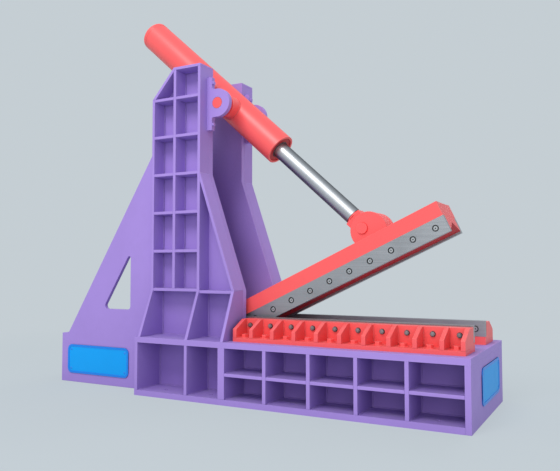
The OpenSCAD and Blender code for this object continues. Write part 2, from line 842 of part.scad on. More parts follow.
piston_back = piston_front - piston_l;
module rod() color(chrome) cylinder_frame() {
    rod_x(piston_back, shoulder_s, rod_r);
}

groove_w = 8;
groove_in = 5;
module piston() color(steel) cylinder_frame() difference() {
    rod_x(piston_back, piston_front, bore_r - run_gap);
    rod_x(piston_back - 1, piston_front + 1, rod_r + run_gap);
    for (s = [piston_back + 30, piston_front - 30 - groove_w]) {
        difference() {
            rod_x(s, s + groove_w, bore_r + 1);
            rod_x(s - 1, s + groove_w + 1, bore_r - groove_in);
        }
    }
}

collar_l = 10;
module rod_eye() color(red) cylinder_frame() difference() {
    union() {
        rod_x(shoulder_s, shoulder_s + collar_l, rod_r - 4);
        slab(shoulder_s + collar_l, pin_s, -eye_y, eye_y, -eye_h, eye_h);
        rod_y(pin_s, 0, eye_r, -eye_y, eye_y);
    }
    rod_y(pin_s, 0, pin_r + eye_room, -eye_y - 1, eye_y + 1);
}

base_plates();
deck_plate();
front_end_plate();
base_webs();
pocket_ribs();
pocket_shelves();
cross_ribs();
gusset_near();
gusset_far();
rear_end_plate();
rear_top_plate();
tie_plate();
tower_web_near();
tower_web_far();
rear_flange_near();
rear_flange_far();
front_flange_near();
front_flange_far();
nose_flange_near();
nose_flange_far();
tower_grid_near();
tower_grid_far();
tower_cap_near();
tower_cap_far();
pivot_shaft();
pivot_caps();
thrust_rings();
seat_near();
seat_far();
seat_ribs();
lower_blade_near();
lower_blade_far();
lower_blade_bolts();
hold_down_bolts();
bracket_near();
bracket_far();
bracket_bolts();
trunnion_bushes();
badges();
cheek_near();
cheek_far();
jaw_keel();
jaw_lid();
jaw_nose();
jaw_diaphragms();
jaw_hub();
hub_bushes();
upper_blade_near();
upper_blade_far();
upper_blade_bolts();
rod_lugs();
rod_pin();
barrel();
barrel_cap();
gland();
trunnions();
hose_ports();
rod();
piston();
rod_eye();
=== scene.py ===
import json
import math
import random

import bmesh
import bpy
from mathutils import Matrix, Vector


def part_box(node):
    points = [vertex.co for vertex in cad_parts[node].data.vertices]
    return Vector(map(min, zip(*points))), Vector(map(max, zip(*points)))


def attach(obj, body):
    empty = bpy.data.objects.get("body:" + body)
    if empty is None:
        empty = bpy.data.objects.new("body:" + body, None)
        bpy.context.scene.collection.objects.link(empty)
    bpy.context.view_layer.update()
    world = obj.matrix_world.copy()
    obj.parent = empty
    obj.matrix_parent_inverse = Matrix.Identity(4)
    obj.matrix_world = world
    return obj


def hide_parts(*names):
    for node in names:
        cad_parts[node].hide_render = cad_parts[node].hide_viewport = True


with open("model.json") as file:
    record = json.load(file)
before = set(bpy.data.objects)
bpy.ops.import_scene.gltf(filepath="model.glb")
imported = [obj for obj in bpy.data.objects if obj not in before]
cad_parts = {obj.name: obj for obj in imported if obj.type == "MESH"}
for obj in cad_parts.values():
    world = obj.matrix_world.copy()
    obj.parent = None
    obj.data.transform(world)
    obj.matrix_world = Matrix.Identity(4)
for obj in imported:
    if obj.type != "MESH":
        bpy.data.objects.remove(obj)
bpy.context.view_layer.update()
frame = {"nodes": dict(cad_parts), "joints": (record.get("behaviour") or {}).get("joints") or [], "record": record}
nodes = frame["nodes"]
record = frame["record"]
print("frame loaded:", len(nodes), "parts")


# a socket that can stand in a sum, so that a mask reads as ordinary arithmetic
class Wire:
    def __init__(self, shader, socket):
        self.shader = shader
        self.socket = socket

    def maths(self, operation, other, flipped=False):
        pair = (other, self) if flipped else (self, other)
        return self.shader.add("ShaderNodeMath", {"operation": operation}, dict(enumerate(pair)))

    def __add__(self, other):
        return self.maths("ADD", other)

    def __sub__(self, other):
        return self.maths("SUBTRACT", other)

    def __rsub__(self, other):
        return self.maths("SUBTRACT", other, flipped=True)

    def __mul__(self, other):
        return self.maths("MULTIPLY", other)

    __radd__ = __add__
    __rmul__ = __mul__

    # rises from 0 to 1 between two levels
    def between(self, low, high):
        return self.shader.add(
            "ShaderNodeMapRange", {"clamp": True}, {0: self, 1: low, 2: high, 3: 0.0, 4: 1.0})


class Shader:
    def __init__(self, name):
        self.material = bpy.data.materials.new(name)
        self.material.use_nodes = True
        self.tree = self.material.node_tree
        self.tree.nodes.clear()
        self.place = self.add("ShaderNodeTexCoord", output="Object")

    def add(self, kind, settings=None, inputs=None, output=0):
        node = self.tree.nodes.new(kind)
        for key, value in (settings or {}).items():
            setattr(node, key, value)
        for key, value in (inputs or {}).items():
            if isinstance(value, Wire):
                self.tree.links.new(value.socket, node.inputs[key])
            else:
                node.inputs[key].default_value = value
        return Wire(self, node.outputs[output]) if len(node.outputs) else None

    def noise(self, scale, detail=2.0, roughness=0.5, place=None):
        return self.add("ShaderNodeTexNoise", None, {
            "Vector": place or self.place, "Scale": scale, "Detail": detail,
            "Roughness": roughness})

    def stretched(self, scale, turn=(0.0, 0.0, 0.0)):
        return self.add("ShaderNodeMapping", None, {
            "Vector": self.place, "Scale": scale, "Rotation": turn})

    def mix(self, factor, first, second):
        return self.add("ShaderNodeMix", {"data_type": "RGBA"},
            {0: factor, 6: first, 7: second}, output=2)

    # bright where a surface turns a convex or a hollow corner
    def corners(self, radius):
        rounded = self.add("ShaderNodeBevel", {"samples": 4}, {"Radius": radius})
        flat = self.add("ShaderNodeNewGeometry", output="Normal")
        along = self.add("ShaderNodeVectorMath", {"operation": "DOT_PRODUCT"},
            {0: rounded, 1: flat}, output="Value")
        return (1.0 - along).between(0.02, 0.25)

    # bright in the open, dark in hollows
    def openness(self, distance):
        return self.add("ShaderNodeAmbientOcclusion", {"samples": 6}, {"Distance": distance},
            output="AO")

    def upward(self):
        normal = self.add("ShaderNodeNewGeometry", output="Normal")
        return self.add("ShaderNodeSeparateXYZ", None, {0: normal}, output=2).between(0.6, 0.98)

    def bump(self, height, strength, distance):
        return self.add("ShaderNodeBump", None,
            {"Height": height, "Strength": strength, "Distance": distance})

    def surface(self, inputs):
        skin = self.add("ShaderNodeBsdfPrincipled", None, inputs)
        self.add("ShaderNodeOutputMaterial", None, {0: skin})
        return self.material


def shade(colour, factor):
    return tuple(min(1.0, c * factor) for c in colour[:3]) + (1.0,)


paintLooks = {
    "violet": {"colour": (0.385, 0.248, 0.665, 1), "edgeWearHighlight": (0.50, 0.37, 0.80, 1),
               "shadeColour": (0.19, 0.115, 0.40, 1), "hollowShade": 0.45, "paintedShadow": 0.85, "rough": 0.48,
               "gloss": 0.35},
    "coral": {"colour": (1.0, 0.108, 0.108, 1), "edgeWearHighlight": (1.0, 0.24, 0.22, 1),
              "shadeColour": (0.62, 0.05, 0.05, 1), "hollowShade": 0.30, "paintedShadow": 0.2, "rough": 0.36,
              "gloss": 0.6},
    "crimson": {"colour": (0.52, 0.030, 0.034, 1), "edgeWearHighlight": (0.66, 0.09, 0.09, 1),
                "shadeColour": (0.30, 0.02, 0.02, 1), "hollowShade": 0.3, "paintedShadow": 0.2, "rough": 0.45,
                "gloss": 0.35},
    "azure": {"colour": (0.0, 0.22, 0.80, 1), "edgeWearHighlight": (0.08, 0.38, 0.92, 1),
              "shadeColour": (0.0, 0.10, 0.45, 1), "hollowShade": 0.3, "paintedShadow": 0.2, "rough": 0.32,
              "gloss": 0.45},
    "azurePale": {"colour": (0.0, 0.36, 0.90, 1), "edgeWearHighlight": (0.12, 0.5, 1.0, 1),
                  "shadeColour": (0.0, 0.14, 0.50, 1), "hollowShade": 0.3, "paintedShadow": 0.2, "rough": 0.40,
                  "gloss": 0.25},
}


# sprayed machine enamel: slow tone drift, soft orange peel, dusty tops, dark chips, and corners
# lightened partly as wear and partly as a painted highlight; painted shade darkens low hollows,
# more towards the bottom, and a painted shadow dims high inner faces that stand close to other
# parts; faces that look down in the part's own frame can take a second colour
def enamel(name, look, under=None):
    s = Shader(name)
    colour = look["colour"]
    drift = s.noise(1.3, 3.0)
    mottle = s.noise(11.0, 5.0, 0.6)
    peel = s.noise(190.0, 2.0)
    specks = s.noise(75.0, 4.0, 0.7)
    tone = s.mix(drift.between(0.3, 0.7), shade(colour, 0.94), shade(colour, 1.03))
    tone = s.mix(mottle.between(0.45, 0.75) * 0.35, tone, shade(colour, 0.90))
    if under:
        facing = s.add("ShaderNodeTexCoord", output="Normal")
        height = s.add("ShaderNodeSeparateXYZ", None, {0: facing}, output=2)
        tone = s.mix(height.between(-0.25, -0.15), under["colour"], tone)
    air = s.openness(0.30)
    level = s.add("ShaderNodeSeparateXYZ", None, {0: s.place}, output=2).between(0.5, 1.0)
    # painted shade: the paint darkens towards its shade colour in hollows, more so lower down
    hollowShade = (1.0 - air.between(0.15, 0.85)) * look["hollowShade"] * (1.25 - level)
    tone = s.mix(hollowShade, tone, look["shadeColour"])
    # painted shadow: high inner faces that stand close to other parts are darkened towards the shade colour
    paintedShadow = (1.0 - s.openness(0.65).between(0.3, 0.75)) * air.between(0.55, 0.85) * level
    paintedShadow = paintedShadow * look["paintedShadow"]
    tone = s.mix(paintedShadow, tone, look["shadeColour"])
    rim = s.corners(0.006) * air.between(0.45, 0.8)
    # corners lightened partly as wear and partly as a painted highlight
    tone = s.mix(rim * 0.55, tone, look["edgeWearHighlight"])
    chips = rim * specks.between(0.60, 0.66)
    tone = s.mix(chips * 0.5, tone, (0.20, 0.19, 0.20, 1))
    dust = s.upward() * mottle.between(0.35, 0.8)
    tone = s.mix(dust * 0.16, tone, (0.62, 0.60, 0.58, 1))
    rough = look["rough"] + mottle * 0.10 + dust * 0.2
    height = peel * 0.35 + drift * 0.5 - chips * 0.6
    return s.surface({
        "Base Color": tone, "Roughness": rough, "Specular IOR Level": look["gloss"],
        "Normal": s.bump(height, 0.08, 0.0012)})


steelLooks = {
    "groundSteel": {"colour": (0.40, 0.41, 0.43, 1), "dark": (0.20, 0.21, 0.22, 1),
                    "rough": 0.34, "grain": (2.0, 90.0, 420.0), "metal": 0.85},
    "turnedSteel": {"colour": (0.52, 0.53, 0.54, 1), "dark": (0.22, 0.22, 0.23, 1),
                    "rough": 0.30, "grain": (160.0, 160.0, 160.0), "metal": 0.9},
    "nutSteel": {"colour": (0.36, 0.37, 0.38, 1), "dark": (0.14, 0.14, 0.15, 1),
                 "rough": 0.36, "grain": (160.0, 160.0, 160.0), "metal": 0.9},
    "darkWasherRing": {"colour": (0.10, 0.10, 0.11, 1), "dark": (0.05, 0.05, 0.055, 1),
                    "rough": 0.4, "grain": (160.0, 160.0, 160.0), "metal": 0.9},
    "bronze": {"colour": (0.55, 0.34, 0.13, 1), "dark": (0.24, 0.14, 0.06, 1),
               "rough": 0.34, "grain": (120.0, 120.0, 120.0), "metal": 0.9},
    "rubber": {"colour": (0.10, 0.07, 0.08, 1), "dark": (0.05, 0.04, 0.04, 1),
               "rough": 0.6, "grain": (90.0, 90.0, 90.0), "metal": 0.0},
    # painted shade for the bolt sockets
    "socketShade": {"colour": (0.05, 0.05, 0.055, 1), "dark": (0.02, 0.02, 0.02, 1),
                    "rough": 0.5, "grain": (120.0, 120.0, 120.0), "metal": 0.6},
}


# ground or turned metal: fine grain along one direction, oil haze, painted shade in hollows, bright worn corners
def metal(name, look, turn=0.0):
    s = Shader(name)
    grain = s.noise(1.0, 3.0, 0.6, s.stretched(look["grain"], (0.0, turn, 0.0)))
    haze = s.noise(5.0, 4.0, 0.6)
    nicks = s.noise(60.0, 5.0, 0.75)
    tone = s.mix(grain.between(0.3, 0.7), shade(look["colour"], 0.88), shade(look["colour"], 1.08))
    tone = s.mix(haze.between(0.5, 0.8) * 0.35, tone, look["dark"])
    air = s.openness(0.08)
    # painted shade: hollows are darkened well below the dark tone
    tone = s.mix((1.0 - air.between(0.3, 0.9)) * 0.8, tone, shade(look["dark"], 0.4))
    rim = s.corners(0.004) * air.between(0.4, 0.8)
    tone = s.mix(rim * nicks.between(0.35, 0.6) * 0.6, tone, shade(look["colour"], 1.45))
    rough = look["rough"] + grain * 0.12 + haze * 0.08
    height = grain * 0.6 - rim * nicks.between(0.55, 0.7)
    return s.surface({
        "Base Color": tone, "Metallic": look["metal"], "Roughness": rough,
        "Normal": s.bump(height, 0.10, 0.0006)})


# the edge colour is the painted dark that the reflection takes towards the rod's sides
chromeLook = {"colour": (0.56, 0.57, 0.59, 1), "streak": (0.47, 0.48, 0.50, 1),
              "edge": (0.05, 0.05, 0.065, 1), "rough": 0.40}


# hard chrome: a painted reflection, bright along the middle and dark towards the edges that turn away from the
# view, with faint polishing rings
def hardChrome(name, look, turn):
    s = Shader(name)
    rings = s.noise(1.0, 2.0, 0.5, s.stretched((520.0, 3.0, 3.0), (0.0, turn, 0.0)))
    film = s.noise(9.0, 3.0)
    tone = s.mix(rings.between(0.3, 0.7) * 0.5, look["colour"], look["streak"])
    # painted reflection: the colour darkens where the surface turns away from the view
    paintedEdgeFade = s.add("ShaderNodeLayerWeight", None, {"Blend": 0.5}, output="Facing")
    tone = s.mix(paintedEdgeFade.between(0.15, 0.85), tone, look["edge"])
    rough = look["rough"] + rings * 0.05 + film.between(0.45, 0.7) * 0.06
    return s.surface({
        "Base Color": tone, "Metallic": 1.0, "Roughness": rough,
        "Normal": s.bump(rings, 0.03, 0.0003)})


# weld beads: the enamel's colour darkened as painted shade, with ripples across the run and painted shade in
# hollows
def beadEnamel(name, look):
    s = Shader(name)
    ripple = s.noise(140.0, 1.0)
    spatter = s.noise(60.0, 3.0)
    # painted shade: the bead takes a darker copy of its paint
    tone = s.mix(spatter.between(0.3, 0.7),
        shade(look["colour"], 0.72), shade(look["colour"], 0.86))
    air = s.openness(0.25)
    # painted shade: hollows darken towards the shade colour
    tone = s.mix((1.0 - air.between(0.1, 0.75)) * look["hollowShade"], tone, look["shadeColour"])
    rough = look["rough"] + spatter * 0.1
    return s.surface({
        "Base Color": tone, "Roughness": rough, "Specular IOR Level": look["gloss"],
        "Normal": s.bump(ripple, 0.5, 0.002)})


# boxes of the separate solids of one node, near side first and then along X
def solids(name):
    mesh = nodes[name].data
    spots = {}
    owner = []
    for vertex in mesh.vertices:
        key = tuple(round(c, 5) for c in vertex.co)
        owner.append(spots.setdefault(key, len(spots)))
    root = list(range(len(spots)))

    def top(i):
        while root[i] != i:
            root[i] = root[root[i]]
            i = root[i]
        return i

    for edge in mesh.edges:
        root[top(owner[edge.vertices[0]])] = top(owner[edge.vertices[1]])
    boxes = {}
    for key, index in spots.items():
        low, high = boxes.setdefault(top(index), (Vector(key), Vector(key)))
        low[:] = map(min, low, key)
        high[:] = map(max, high, key)
    return sorted(boxes.values(), key=lambda pair: (pair[0].y > 0, pair[0].x))


def middle(pair):
    return (pair[0] + pair[1]) / 2


joints = {joint["name"]: joint for joint in frame["joints"]}
rodAxis = Vector(joints["rod_extend"]["axis"])
rodTurn = math.atan2(-rodAxis.z, rodAxis.x)
trunnion = Vector(joints["cylinder_swing"]["pos_m"])
jawBolts = solids("upper_blade_bolts")
farJawBolts = [middle(pair) for pair in jawBolts if pair[0].y > 0]
jawAxis = (farJawBolts[-1] - farJawBolts[0]).normalized()
jawTurn = math.atan2(jawAxis.z, jawAxis.x)
jawUp = Vector((-jawAxis.z, 0.0, jawAxis.x))

materials = {
    "purple_paint": enamel("violetEnamel", paintLooks["violet"]),
    "red_paint": enamel("coralEnamel", paintLooks["coral"]),
    "dark_red_paint": enamel("crimsonEnamel", paintLooks["crimson"]),
    "blue_paint": enamel("azureEnamel", paintLooks["azure"]),
    "blade_steel": metal("groundSteel", steelLooks["groundSteel"]),
    "machined_steel": metal("turnedSteel", steelLooks["turnedSteel"]),
    "chrome": hardChrome("hardChrome", chromeLook, -rodTurn),
    "bronze": metal("bearingBronze", steelLooks["bronze"]),
}
keelEnamel = enamel("coralOverCrimson", paintLooks["coral"], paintLooks["crimson"])
jawSteel = metal("groundSteelJaw", steelLooks["groundSteel"], jawTurn)
azurePale = enamel("azurePale", paintLooks["azurePale"])
nutSteel = metal("nutSteel", steelLooks["nutSteel"])
darkWasherRing = metal("darkWasherRing", steelLooks["darkWasherRing"])
wiperRubber = metal("wiperRubber", steelLooks["rubber"])
socketShade = metal("socketShade", steelLooks["socketShade"])
violetBead = beadEnamel("violetBead", paintLooks["violet"])
coralBead = beadEnamel("coralBead", paintLooks["coral"])

for part in record["subparts"]:
    shownPart = nodes[part["node"]]
    finish = materials[part["material_slot"]]
    if part["node"].startswith("upper_blade") and "bolts" not in part["node"]:
        finish = jawSteel
    if part["node"] == "jaw_keel":
        finish = keelEnamel
    if part["node"] == "lower_blade_bolts":
        finish = nutSteel
    if not shownPart.data.materials:
        shownPart.data.materials.append(finish)
    for slotIndex in range(len(shownPart.material_slots)):
        shownPart.material_slots[slotIndex].material = finish
print("finishes given to the parts")

# softened corners on the plate work, with the angles in degrees; turned parts keep their own
# smooth faces
cornerLook = {"seam": 0.00002, "flat": 0.6, "sharp": 35, "segments": 2, "weight": 60}
cornerWidths = {"default": 0.0022, "lower_blade_bolts": 0.001, "upper_blade_bolts": 0.001,
                "bracket_near": 0.003, "bracket_far": 0.003, "rod_eye": 0.004,
                "rod_lugs": 0.004, "cheek_near": 0.003, "cheek_far": 0.003, "jaw_nose": 0.003}
turnedParts = {"barrel", "barrel_cap", "gland", "trunnions", "hose_ports", "rod", "rod_pin",
               "piston", "pivot_shaft", "pivot_caps", "hub_bushes", "trunnion_bushes",
               "thrust_rings", "jaw_hub"}
for partName, part in nodes.items():
    if partName in turnedParts:
        continue
    weldStep = part.modifiers.new("joinSeams", "WELD")
    weldStep.merge_threshold = cornerLook["seam"]
    plane = part.modifiers.new("wholeFaces", "DECIMATE")
    plane.decimate_type = "DISSOLVE"
    plane.angle_limit = math.radians(cornerLook["flat"])
    corner = part.modifiers.new("softCorners", "BEVEL")
    corner.width = cornerWidths.get(partName, cornerWidths["default"])
    corner.segments = cornerLook["segments"]
    corner.limit_method = "ANGLE"
    corner.angle_limit = math.radians(cornerLook["sharp"])
    corner.use_clamp_overlap = True
    smooth = part.modifiers.new("evenShading", "WEIGHTED_NORMAL")
    smooth.keep_sharp = False
    smooth.weight = cornerLook["weight"]


# a mesh piece from a function that fills a bmesh; it rides one body
def newPiece(name, build, finish, body):
    mesh = bpy.data.meshes.new(name)
    shape = bmesh.new()
    build(shape)
    bmesh.ops.recalc_face_normals(shape, faces=shape.faces)
    shape.to_mesh(mesh)
    shape.free()
    piece = bpy.data.objects.new(name, mesh)
    bpy.context.scene.collection.objects.link(piece)
    mesh.materials.append(finish)
    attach(piece, body)
    return piece


# a local frame with its third axis along a direction
def standing(place, direction, sideways=Vector((1, 0, 0))):
    up = Vector(direction).normalized()
    across = (Vector(sideways) - up * Vector(sideways).dot(up)).normalized()
    matrix = Matrix((across, up.cross(across), up)).transposed().to_4x4()
    matrix.translation = Vector(place)
    return matrix


# a closed ring of revolution; the profile is radius and height, walked round
def turned(shape, profile, matrix, steps=32, smooth=True):
    rings = []
    for k in range(steps):
        angle = 2 * math.pi * k / steps
        rings.append([
            shape.verts.new(matrix @ Vector((r * math.cos(angle), r * math.sin(angle), h)))
            for r, h in profile])
    for k in range(steps):
        near, far = rings[k], rings[(k + 1) % steps]
        for i in range(len(profile)):
            j = (i + 1) % len(profile)
            face = shape.faces.new((near[i], far[i], far[j], near[j]))
            face.smooth = smooth


# a solid block from an outline, with its upper edge drawn in by a small chamfer
def block(shape, outline, low, high, matrix, chamfer=0.0):
    centre = Vector((sum(p[0] for p in outline), sum(p[1] for p in outline))) / len(outline)
    spread = max((Vector(p) - centre).length for p in outline)
    inset = 1 - chamfer / spread
    levels = [(low, 1.0), (high - chamfer, 1.0)] + ([(high, inset)] if chamfer else [])
    rings = [
        [shape.verts.new(matrix @ Vector((
            centre.x + (x - centre.x) * scale, centre.y + (y - centre.y) * scale, level)))
         for x, y in outline]
        for level, scale in levels]
    count = len(outline)
    for lower, upper in zip(rings, rings[1:]):
        for i in range(count):
            j = (i + 1) % count
            shape.faces.new((lower[i], lower[j], upper[j], upper[i]))
    shape.faces.new(rings[0][::-1])
    shape.faces.new(rings[-1])


# a flat band between two outlines with the same number of points
def band(shape, outer, inner, low, high, matrix):
    rings = [
        [shape.verts.new(matrix @ Vector((x, y, level))) for x, y in outline]
        for outline, level in ((outer, low), (outer, high), (inner, high), (inner, low))]
    count = len(outer)
    for a, b in zip(rings, rings[1:] + rings[:1]):
        for i in range(count):
            j = (i + 1) % count
            shape.faces.new((a[i], a[j], b[j], b[i]))


def roundedOutline(length, height, radius, steps=8):
    points = []
    for quarter, (sx, sy) in enumerate(((1, 1), (-1, 1), (-1, -1), (1, -1))):
        for k in range(steps + 1):
            angle = math.pi / 2 * (quarter + k / steps)
            points.append((
                sx * (length / 2 - radius) + radius * math.cos(angle),
                sy * (height / 2 - radius) + radius * math.sin(angle)))
    return points


def polygonOutline(radius, sides, twist=0.0):
    return [(radius * math.cos(twist + 2 * math.pi * k / sides),
             radius * math.sin(twist + 2 * math.pi * k / sides)) for k in range(sides)]


beadLook = {"radius": 0.0062, "step": 0.035, "sides": 6, "wander": 0.10, "taper": 0.45,
            "sunk": 0.4, "seed": 11, "aside": (0.31, 0.57, 0.76), "jaw": 0.004, "lug": 0.007,
            "seat": 0.005, "cap": 0.005, "saddle": 0.006, "ringSteps": 40}
beadDice = random.Random(beadLook["seed"])


# a run of weld along points that lie in a corner between two plates
def bead(shape, points, radius=None, closed=False):
    radius = radius or beadLook["radius"]
    path = []
    spans = list(zip(points, points[1:] + points[:1])) if closed else list(zip(points, points[1:]))
    for start, end in spans:
        count = max(1, round((end - start).length / beadLook["step"]))
        path.extend(start.lerp(end, k / count) for k in range(count))
    if not closed:
        path.append(points[-1])
    rings = []
    total = len(path)
    for index, spot in enumerate(path):
        before = path[index - 1] if closed or index else spot
        after = path[(index + 1) % total] if closed or index < total - 1 else spot
        turn = standing(spot, after - before, Vector(beadLook["aside"]))
        size = radius * (1 + beadDice.uniform(-1, 1) * beadLook["wander"])
        if not closed and index in (0, total - 1):
            size *= beadLook["taper"]
        rings.append([
            shape.verts.new(turn @ Vector((x, y, 0)))
            for x, y in polygonOutline(size, beadLook["sides"])])
    pairs = list(zip(rings, rings[1:])) + ([(rings[-1], rings[0])] if closed else [])
    for lower, upper in pairs:
        for i in range(len(lower)):
            j = (i + 1) % len(lower)
            shape.faces.new((lower[i], lower[j], upper[j], upper[i])).smooth = True
    if not closed:
        shape.faces.new(rings[0][::-1])
        shape.faces.new(rings[-1])


# what the runs leave bare at their ends; nose is the slanted nose flange's thickness along X
clearLook = {"lip": 0.02, "cap": 0.02, "upright": 0.05, "tie": 0.01, "nose": 0.0211,
             "seatFoot": 0.012, "seatTop": 0.006}


# the runs round a rectangular pocket: its back rectangle and its four edges outwards
def pocketRuns(shape, x0, x1, z0, z1, backY, frontY):
    inset = beadLook["radius"] * beadLook["sunk"]
    out = math.copysign(1, backY)
    corners = [(x0, z0), (x1, z0), (x1, z1), (x0, z1)]
    bead(shape, [Vector((x, backY + out * inset, z)) for x, z in corners], closed=True)
    for x, z in corners:
        bead(shape, [Vector((x, backY, z)), Vector((x, frontY - out * clearLook["lip"], z))])


print("building weld beads")
webLow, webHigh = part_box("tower_web_far")
backFace = webHigh.y
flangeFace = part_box("tower_grid_far")[1].y
ribs = [pair for pair in solids("pocket_ribs") if pair[0].y > 0]
shelves = [pair for pair in solids("pocket_shelves") if pair[0].y > 0]
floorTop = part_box("base_plates")[1].z
deckLow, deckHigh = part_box("deck_plate")
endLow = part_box("front_end_plate")[0]
outerY = deckHigh.y


def baseSeams(shape):
    for side in (-1, 1):
        for index, rib in enumerate(ribs):
            x0 = rib[1].x
            x1 = ribs[index + 1][0].x if index + 1 < len(ribs) else endLow.x
            between = [s for s in shelves if s[0].x < (x0 + x1) / 2 < s[1].x]
            levels = [floorTop] + [z for s in between for z in (s[0].z, s[1].z)] + [deckLow.z]
            for z0, z1 in zip(levels[::2], levels[1::2]):
                pocketRuns(shape, x0, x1, z0, z1, side * backFace, side * outerY)


newPiece("baseWelds", baseSeams, violetBead, "frame")


def towerSeams(shape):
    grid = solids("tower_grid_far")
    rib = max(grid, key=lambda pair: pair[1].z - pair[0].z)
    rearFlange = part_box("rear_flange_far")
    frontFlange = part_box("front_flange_far")
    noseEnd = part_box("nose_flange_far")[1].x - clearLook["nose"]
    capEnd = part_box("tower_cap_far")[1].z - clearLook["cap"]
    gussetLow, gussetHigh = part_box("gusset_far")
    levels = sorted((pair for pair in grid if pair is not rib), key=lambda pair: pair[0].z)
    rear = [p for p in levels if p[1].x < rib[0].x + 0.001]
    front = [p for p in levels if p[0].x > rib[1].x - 0.001 and p[1].x < frontFlange[1].x]
    waist = max(levels, key=lambda pair: pair[1].x - pair[0].x)
    columns = ((rear, rearFlange[1].x, rib[0].x), (front, rib[1].x, frontFlange[0].x))
    feet = ((rearFlange[1].x, frontFlange[0].x), (frontFlange[1].x, noseEnd))
    for side in (-1, 1):
        y, edge = side * backFace, side * flangeFace
        for column, x0, x1 in columns:
            floors = [waist] + column
            for lower, upper in zip(floors, floors[1:]):
                pocketRuns(shape, x0, x1, lower[1].z, upper[0].z, y, edge)
        pocketRuns(shape, rib[1].x, frontFlange[0].x, front[-1][1].z, capEnd, y, edge)
        for x0, x1 in feet:
            pocketRuns(shape, x0, x1, deckHigh.z, waist[0].z, y, edge)
        # the tower's inner foot along the deck, and the back seams to the gussets
        inner = side * webLow.y
        bead(shape, [Vector((x, inner, deckHigh.z)) for x in (webLow.x, webHigh.x)])
        for seamY in (side * gussetHigh.y, side * gussetLow.y):
            bead(shape, [Vector((webLow.x, seamY, deckHigh.z)),
                         Vector((webLow.x, seamY, gussetHigh.z - clearLook["upright"]))])


newPiece("towerWelds", towerSeams, violetBead, "frame")


def rearBoxSeams(shape):
    low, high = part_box("rear_top_plate")
    for side in (-1, 1):
        y = side * high.y
        bead(shape, [Vector((low.x, y, high.z)), Vector((high.x, y, high.z))])
    bead(shape, [Vector((high.x, low.y, high.z)), Vector((high.x, high.y, high.z))])
    tieLow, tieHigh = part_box("tie_plate")
    for x in (tieLow.x, tieHigh.x):
        for side in (-1, 1):
            bead(shape, [Vector((x, side * tieHigh.y, deckHigh.z)),
                         Vector((x, side * tieHigh.y, tieHigh.z - clearLook["tie"]))])


newPiece("rearBoxWelds", rearBoxSeams, violetBead, "frame")


def seatSeams(shape):
    seatRibs = [pair for pair in solids("seat_ribs") if pair[0].y > 0]
    ends = (seatRibs[0][0].x, seatRibs[-1][1].x)
    for side in (-1, 1):
        for low, high in seatRibs:
            for x in (low.x, high.x):
                if min(abs(x - end) for end in ends) < 0.0001:
                    continue
                bead(shape, [Vector((x, side * (high.y - clearLook["seatFoot"]), low.z)),
                             Vector((x, side * low.y, low.z)),
                             Vector((x, side * low.y, high.z - clearLook["seatTop"]))],
                     beadLook["seat"])


newPiece("seatWelds", seatSeams, coralBead, "frame")


def jawSeams(shape):
    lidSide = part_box("jaw_lid")[1].y
    pivot = Vector(joints["jaw_pivot"]["pos_m"])
    lidPoints = [v.co - pivot for v in nodes["jaw_lid"].data.vertices]
    topLevel = max(point.dot(jawUp) for point in lidPoints)
    along = [point.dot(jawAxis) for point in lidPoints]
    lugAlong = [(v.co - pivot).dot(jawAxis) for v in nodes["rod_lugs"].data.vertices
                if (v.co - pivot).dot(jawUp) < topLevel + 0.001]

    def spot(u, y):
        return pivot + jawAxis * u + jawUp * topLevel + Vector((0, y, 0))

    for side in (-1, 1):
        y = side * lidSide
        bead(shape, [spot(min(along), y), spot(max(along), y)], beadLook["jaw"])
        for low, high in solids("rod_lugs"):
            if (low.y > 0) != (side > 0):
                continue
            for edge in (low.y, high.y):
                bead(shape, [spot(min(lugAlong), edge), spot(max(lugAlong), edge)], beadLook["lug"])
            for u in (min(lugAlong), max(lugAlong)):
                bead(shape, [spot(u, low.y), spot(u, high.y)], beadLook["lug"])
    bead(shape, [spot(max(along), -lidSide), spot(max(along), lidSide)], beadLook["jaw"])


newPiece("jawWelds", jawSeams, coralBead, "upper_jaw")

# a point of the cylinder's own frame: along the rod, across, and square to both
rodUp = Vector((-rodAxis.z, 0.0, rodAxis.x))


def onCylinder(s, y, q):
    return trunnion + rodAxis * s + rodUp * q + Vector((0, y, 0))


barrelPoints = [v.co for v in nodes["barrel"].data.vertices]
barrelBack = min((point - trunnion).dot(rodAxis) for point in barrelPoints)
barrelRadius = max(abs(point.y) for point in barrelPoints)
# the trunnions' bosses, from the axis that they turn on
bossRadius = max(math.hypot(v.co.x - trunnion.x, v.co.z - trunnion.z)
                 for v in nodes["trunnions"].data.vertices)


def cylinderSeams(shape):
    turns = [2 * math.pi * k / beadLook["ringSteps"] for k in range(beadLook["ringSteps"])]
    capSeam = barrelRadius - 0.7 * beadLook["cap"]
    ring = [onCylinder(barrelBack, capSeam * math.cos(a), capSeam * math.sin(a)) for a in turns]
    bead(shape, ring, beadLook["cap"], closed=True)
    for side in (-1, 1):
        saddle = []
        for angle in turns:
            s, q = bossRadius * math.cos(angle), bossRadius * math.sin(angle)
            saddle.append(onCylinder(s, side * math.sqrt(barrelRadius ** 2 - q ** 2), q))
        bead(shape, saddle, beadLook["saddle"], closed=True)


newPiece("cylinderWelds", cylinderSeams, coralBead, "cylinder")
print("weld beads done")

boltLook = {"headRadius": 0.0124, "socketRadius": 0.0046, "sunk": 0.0004, "proud": 0.0006,
            "steps": 24}


